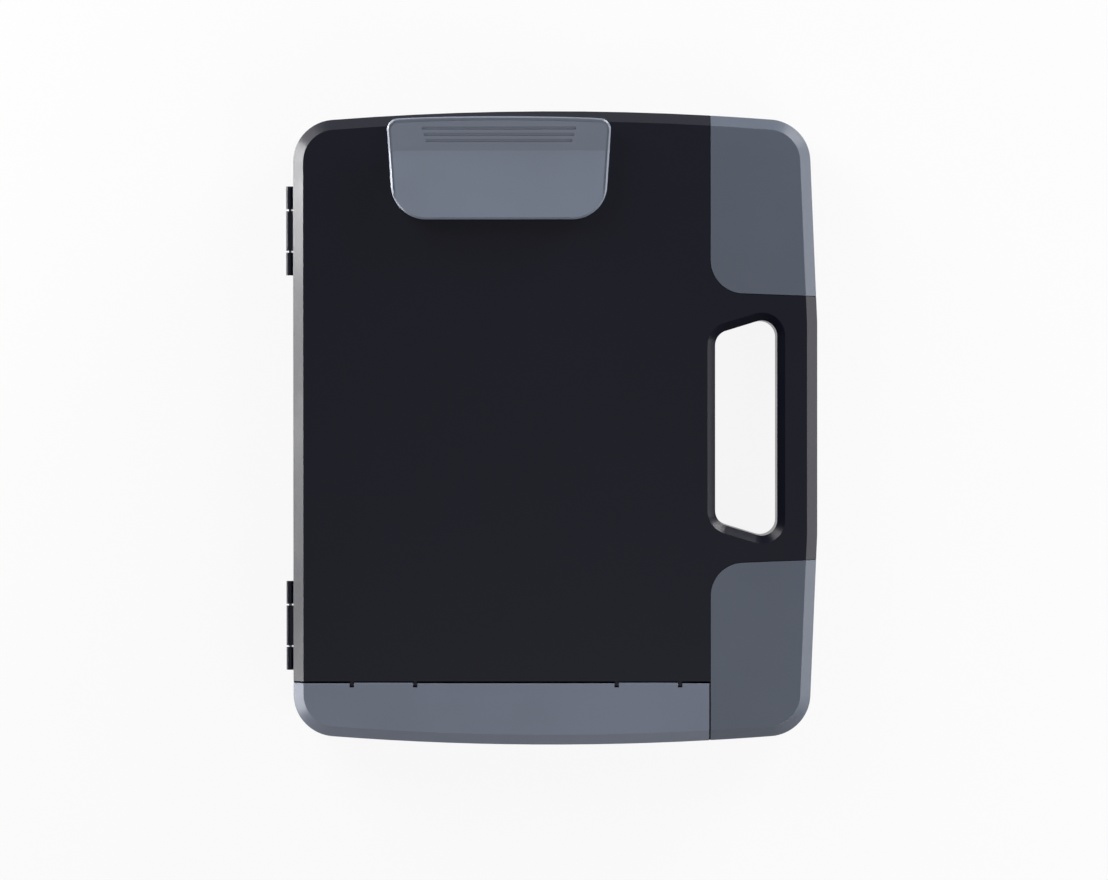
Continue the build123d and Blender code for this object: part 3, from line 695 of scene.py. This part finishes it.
@dataclass
class Clip:
    """Paper clip with its lever, pad, bracket, pin, rivets and springs."""

    pivot: tuple[float, float] = (156.0 * MM, 50.5 * MM)
    edge_radius: float = 0.30 * MM
    pad_edge_radius: float = 0.20 * MM
    bracket_edge_radius: float = 0.12 * MM
    pin_edge_radius: float = 0.25 * MM

    def dress(self) -> None:
        """Give the clip's pieces their finishes."""
        edges = SoftEdges(self.edge_radius)
        dress_node("clip_lever", CLIP_PLASTIC.make(), CLIP_PLASTIC.make(0.6), edges)
        dress_node("clip_jaw_pad", PAD_RUBBER.make(), None, SoftEdges(self.pad_edge_radius))
        dress_node("clip_bracket", SHEET_STEEL.make(), None, SoftEdges(self.bracket_edge_radius))
        dress_node("clip_pin", ROD_STEEL_ALONG_X.make(), None, SoftEdges(self.pin_edge_radius))
        dress_node("clip_rivets", SPRING_STEEL.make(), None, None)

    def build_springs(self) -> None:
        """Wind the two torsion springs round the clip's pin."""
        steel = SPRING_STEEL.make()
        for name, hand in (("clip_spring_left", -1), ("clip_spring_right", 1)):
            low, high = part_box(name)
            spring = TorsionSpring(Vector(((low.x + high.x) / 2, *self.pivot)), hand)
            piece = finish_piece(spring.wind(), name + "_wire", None, steel)
            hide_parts(name)
            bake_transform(piece)


@dataclass
class Latch:
    """Rocking latch at the side of the hand hole, with ribs for the thumb."""

    edge_radius: float = 0.35 * MM
    rib_count: int = 4
    rib_length: float = 24.0 * MM
    rib_width: float = 0.9 * MM
    rib_height: float = 0.45 * MM
    rib_root: float = 0.3 * MM
    rib_pitch: float = 1.9 * MM
    rib_inset: float = 2.4 * MM
    rib_round_share: float = 0.45
    leaf_thickness: float = 0.40 * MM
    leaf_steps: int = 32
    leaf_keep: float = 0.5

    def dress(self) -> None:
        """Give the rocker its finish."""
        edges = SoftEdges(self.edge_radius)
        dress_node("latch_rocker", LATCH_PLASTIC.make(), LATCH_PLASTIC.make(0.8), edges)

    def build_leaf(self) -> None:
        """Bend the leaf spring into an arc in the place of the plain one."""
        low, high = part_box("latch_spring")
        bow, half = high.x - low.x, (high.z - low.z) / 2
        radius = (bow**2 + half**2) / (2 * bow)
        middle = Vector((high.x - radius, low.y, (low.z + high.z) / 2))
        sweep = math.acos((radius - bow) / radius)
        mesh = bmesh.new()
        reaches = (radius - self.leaf_thickness, radius)
        ends = [mesh.verts.new(middle + Vector((reach, 0.0, 0.0))) for reach in reaches]
        edge = mesh.edges.new(ends)
        turn = Matrix.Rotation(-sweep, 3, "Y")
        bmesh.ops.rotate(mesh, cent=middle, matrix=turn, verts=ends)
        bmesh.ops.spin(
            mesh,
            geom=[*ends, edge],
            cent=middle,
            axis=(0, 1, 0),
            angle=2 * sweep,
            steps=self.leaf_steps,
        )
        made = bmesh.ops.extrude_face_region(mesh, geom=mesh.faces[:])["geom"]
        far_side = [part for part in made if isinstance(part, bmesh.types.BMVert)]
        bmesh.ops.translate(mesh, vec=(0.0, high.y - low.y, 0.0), verts=far_side)
        leaf = finish_piece(mesh, "latch_leaf_spring", Body.BASE, SPRING_STEEL.make())
        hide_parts("latch_spring")
        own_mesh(leaf)

    def build_ribs(self) -> None:
        """Stand the thumb ribs on the rocker's lower half."""
        low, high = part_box("latch_rocker")
        mesh = bmesh.new()
        size = Vector((self.rib_root + self.rib_height, self.rib_length, self.rib_width))
        face = high.x + (self.rib_height - self.rib_root) / 2
        for count in range(self.rib_count):
            height = low.z + self.rib_inset + count * self.rib_pitch
            middle = Vector((face, (low.y + high.y) / 2, height))
            made = bmesh.ops.create_cube(mesh, size=1.0)
            bmesh.ops.scale(mesh, vec=size, verts=made["verts"])
            bmesh.ops.translate(mesh, vec=middle, verts=made["verts"])
        bmesh.ops.bevel(
            mesh,
            geom=mesh.edges[:],
            offset=self.rib_height * self.rib_round_share,
            segments=3,
            profile=0.5,
            affect="EDGES",
            material=-1,
        )
        # The ribs take a lighter, smoother copy of the latch plastic; the lighter colour is a painted
        # highlight.
        finish_piece(mesh, "latch_thumb_ribs", Body.LATCH, LATCH_PLASTIC.make(0.4))


@dataclass
class Softbox:
    """Rectangular studio lamp that shines from a place towards a point."""

    name: str
    place: tuple[float, float, float]
    aim: tuple[float, float, float]
    width: float
    height: float
    radiance: float

    def hang(self) -> None:
        """Put the lamp in the scene."""
        data = bpy.data.lights.new(self.name, "AREA")
        data.shape = "RECTANGLE"
        data.size = self.width
        data.size_y = self.height
        data.energy = self.radiance * math.pi * self.width * self.height
        lamp = bpy.data.objects.new(self.name, data)
        lamp.location = self.place
        lamp.rotation_euler = (Vector(self.aim) - Vector(self.place)).to_track_quat("-Z", "Y").to_euler()
        lamp.visible_camera = False
        bpy.context.scene.collection.objects.link(lamp)


CASE_MIDDLE = (0.0, 0.0, 0.03)
WHITE = (1.0, 1.0, 1.0, 1.0)


@dataclass
class Studio:
    """Pale floor, soft lamps, white surroundings and the camera."""

    floor_half: float = 4.0
    floor_tone: float = 0.86
    floor_roughness: float = 0.9
    floor_white_share: float = 0.90
    ambient: float = 0.06
    camera_distance: float = 3.0
    camera_aim: tuple[float, float, float] = (1.5 * MM, -6.8 * MM, 46 * MM)
    camera_lean_left: float = -0.54
    camera_lean_up: float = 0.57
    camera_roll: float = -0.03
    frame_width: float = 0.639
    sensor_width: float = 36.0
    farthest: float = 50.0
    lamps: tuple[Softbox, ...] = (
        Softbox("left_strip_upper", (-0.60, 0.27, 0.023), (0.0, 0.27, 0.023), 0.30, 0.042, 54.0),
        Softbox("left_strip_middle", (-0.60, 0.01, 0.023), (0.0, 0.01, 0.023), 0.22, 0.042, 22.0),
        Softbox("left_strip_lower", (-0.60, -0.28, 0.023), (0.0, -0.28, 0.023), 0.30, 0.042, 22.0),
        Softbox("low_upper_left_softbox", (-1.10, 1.10, 0.36), CASE_MIDDLE, 0.8, 0.55, 7.3),
        Softbox("low_upper_right_softbox", (1.10, 1.10, 0.36), CASE_MIDDLE, 0.8, 0.55, 14.2),
        Softbox("right_strip", (0.60, 0.0, 0.023), (0.0, 0.0, 0.023), 0.80, 0.042, 3.2),
        Softbox("low_right_softbox", (1.56, 0.0, 0.36), CASE_MIDDLE, 0.8, 0.55, 3.6),
        Softbox("upper_left_softbox", (-0.89, 0.89, 0.985), CASE_MIDDLE, 0.9, 0.7, 4.0),
        Softbox("lower_right_softbox", (0.89, -0.89, 0.985), CASE_MIDDLE, 0.9, 0.7, 4.6),
        Softbox("lower_softbox", (0.0, -0.69, 1.553), CASE_MIDDLE, 0.9, 0.7, 0.67),
        Softbox("top_softbox", (0.0, 0.0, 2.2), (0.0, 0.0, 0.0), 1.0, 1.0, 0.29),
    )

    def build(self) -> None:
        """Lay the floor, hang the lamps and set the camera."""
        self._floor()
        self._surroundings()
        for lamp in self.lamps:
            lamp.hang()
        self._camera()

    def _floor(self) -> None:
        """Lay the pale floor, which keeps the shadow."""
        mesh = bmesh.new()
        bmesh.ops.create_grid(mesh, x_segments=1, y_segments=1, size=self.floor_half)
        data = bpy.data.meshes.new("floor")
        mesh.to_mesh(data)
        mesh.free()
        floor = bpy.data.objects.new("floor", data)
        bpy.context.scene.collection.objects.link(floor)
        bench = Bench("pale_floor")
        tone = self.floor_tone
        bench.feed(bench.shader.inputs["Base Color"], (tone, tone, tone, 1.0))
        bench.feed(bench.shader.inputs["Roughness"], self.floor_roughness)
        white = bench.node("ShaderNodeEmission", None, {"Color": WHITE, "Strength": 1.0})
        share = bench.seen_share(self.floor_white_share)
        shaders = {0: share, 1: bench.shader.outputs[0], 2: white.outputs[0]}
        mixed = bench.node("ShaderNodeMixShader", None, shaders)
        bench.feed(bench.output.inputs["Surface"], mixed.outputs[0])
        data.materials.append(bench.material)

    def _surroundings(self) -> None:
        """Give the world its soft light and its white background."""
        world = bpy.data.worlds.new("studio")
        bpy.context.scene.world = world
        tree = NodeTree(world)
        faint = tree.node("ShaderNodeBackground", None, {"Strength": self.ambient})
        white = tree.node("ShaderNodeBackground", None, {"Color": WHITE, "Strength": 1.0})
        rays = tree.node("ShaderNodeLightPath").outputs
        seen = Signal(tree, rays["Is Camera Ray"]) + Signal(tree, rays["Is Transmission Ray"])
        mixed = tree.node("ShaderNodeMixShader", None, {0: seen, 1: faint.outputs[0], 2: white.outputs[0]})
        tree.node("ShaderNodeOutputWorld", None, {"Surface": mixed.outputs[0]})

    def _camera(self) -> None:
        """Set the camera nearly straight above the case."""
        left = math.tan(math.radians(self.camera_lean_left))
        up = math.tan(math.radians(self.camera_lean_up))
        aim = Vector(self.camera_aim)
        place = aim + Vector((-left, up, 1.0)) * self.camera_distance
        data = bpy.data.cameras.new("camera")
        data.sensor_width = self.sensor_width
        data.lens = self.sensor_width * (place - aim).length / self.frame_width
        data.clip_end = self.farthest
        camera = bpy.data.objects.new("camera", data)
        back = (place - aim).normalized()
        right = Vector((0.0, 1.0, 0.0)).cross(back).normalized()
        turn = Matrix((right, back.cross(right), back)).transposed()
        roll = Matrix.Rotation(math.radians(self.camera_roll), 3, "Z")
        camera.matrix_world = Matrix.LocRotScale(place, (turn @ roll).to_quaternion(), None)
        bpy.context.scene.collection.objects.link(camera)
        bpy.context.scene.camera = camera


def main() -> None:
    """Build and dress the whole case."""
    logging.basicConfig(level=logging.INFO, format="%(name)s %(message)s")
    bpy.context.scene.view_settings.view_transform = "Standard"
    Studio().build()
    tray = BaseTray()
    tray.dress()
    tray.build_feet()
    Lid().dress()
    PenDoor().dress()
    clip = Clip()
    clip.dress()
    clip.build_springs()
    latch = Latch()
    latch.dress()
    latch.build_leaf()
    latch.build_ribs()


if __name__ == "__main__":
    main()
